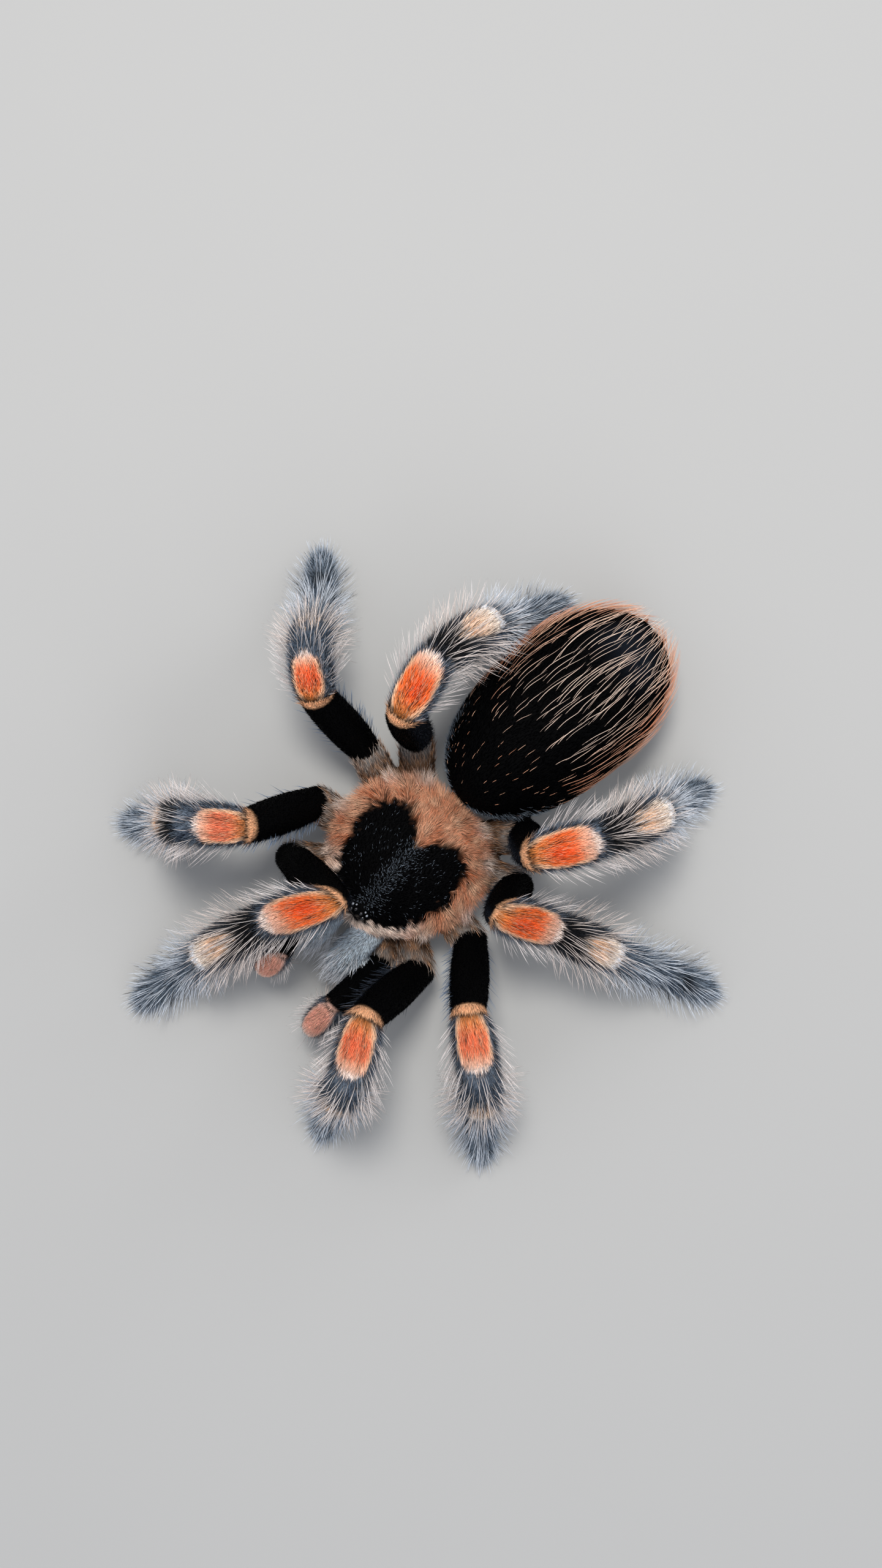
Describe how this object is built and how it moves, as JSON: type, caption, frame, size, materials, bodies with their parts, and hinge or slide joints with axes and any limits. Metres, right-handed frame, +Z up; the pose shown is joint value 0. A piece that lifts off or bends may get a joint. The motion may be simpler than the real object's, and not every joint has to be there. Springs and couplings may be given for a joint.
{
  "type": "red knee tarantula",
  "caption": "Life-size still tarantula with velvet-black legs, orange-red knees, long grey setae, a brown-rimmed black carapace and a hairy black abdomen, legs drawn in.",
  "frame": {"origin": "on the floor, under the middle of the animal's overall box", "axes": "+Z up, the head faces -Y and the spider's left side is +X"},
  "size_m": [0.0856, 0.09, 0.0308],
  "materials": {
    "black_velvet": "short jet-black velvet hair with sparse grey-blue hairs at the sides",
    "red_knee": "short flat orange-red hair with thin dark streaks and a peach border",
    "grey_setae": "blue-grey short hair under long pale setae, cream at the tibia's end",
    "brown_hip": "dark brown short hair with pale fringes",
    "carapace_rim": "radiating orange-brown hair round a velvet-black middle",
    "dark_underside": "matt near-black short hair",
    "abdomen_velvet": "black velvet under long curved pinkish-tan setae",
    "blue_grey_jaw": "blue-grey short hair with long pale hairs in front",
    "fang_horn": "glossy dark horn",
    "eye_glass": "glossy black"
  },
  "bodies": {
    "root": {"carapace": "carapace_rim", "sternum": "dark_underside", "pedicel": "dark_underside", "abdomen": "abdomen_velvet", "spinnerets": "brown_hip", "coxae_R": "brown_hip", "coxae_L": "brown_hip", "chelicera_R": "blue_grey_jaw", "chelicera_L": "blue_grey_jaw", "fang_R": "fang_horn", "fang_L": "fang_horn", "eyes": "eye_glass", "leg_R1_femur": "black_velvet", "leg_R1_patella": "red_knee", "leg_R1_tibia": "grey_setae", "leg_R1_metatarsus": "grey_setae", "leg_R1_tarsus": "grey_setae", "leg_R2_femur": "black_velvet", "leg_R2_patella": "red_knee", "leg_R2_tibia": "grey_setae", "leg_R2_metatarsus": "grey_setae", "leg_R2_tarsus": "grey_setae", "leg_R3_femur": "black_velvet", "leg_R3_patella": "red_knee", "leg_R3_tibia": "grey_setae", "leg_R3_metatarsus": "grey_setae", "leg_R3_tarsus": "grey_setae", "leg_R4_femur": "black_velvet", "leg_R4_patella": "red_knee", "leg_R4_tibia": "grey_setae", "leg_R4_metatarsus": "grey_setae", "leg_R4_tarsus": "grey_setae", "palp_R_femur": "black_velvet", "palp_R_patella": "red_knee", "palp_R_tibia": "grey_setae", "palp_R_tarsus": "grey_setae", "leg_L1_femur": "black_velvet", "leg_L1_patella": "red_knee", "leg_L1_tibia": "grey_setae", "leg_L1_metatarsus": "grey_setae", "leg_L1_tarsus": "grey_setae", "leg_L2_femur": "black_velvet", "leg_L2_patella": "red_knee", "leg_L2_tibia": "grey_setae", "leg_L2_metatarsus": "grey_setae", "leg_L2_tarsus": "grey_setae", "leg_L3_femur": "black_velvet", "leg_L3_patella": "red_knee", "leg_L3_tibia": "grey_setae", "leg_L3_metatarsus": "grey_setae", "leg_L3_tarsus": "grey_setae", "leg_L4_femur": "black_velvet", "leg_L4_patella": "red_knee", "leg_L4_tibia": "grey_setae", "leg_L4_metatarsus": "grey_setae", "leg_L4_tarsus": "grey_setae", "palp_L_femur": "black_velvet", "palp_L_patella": "red_knee", "palp_L_tibia": "grey_setae", "palp_L_tarsus": "grey_setae"}
  },
  "joints": []
}
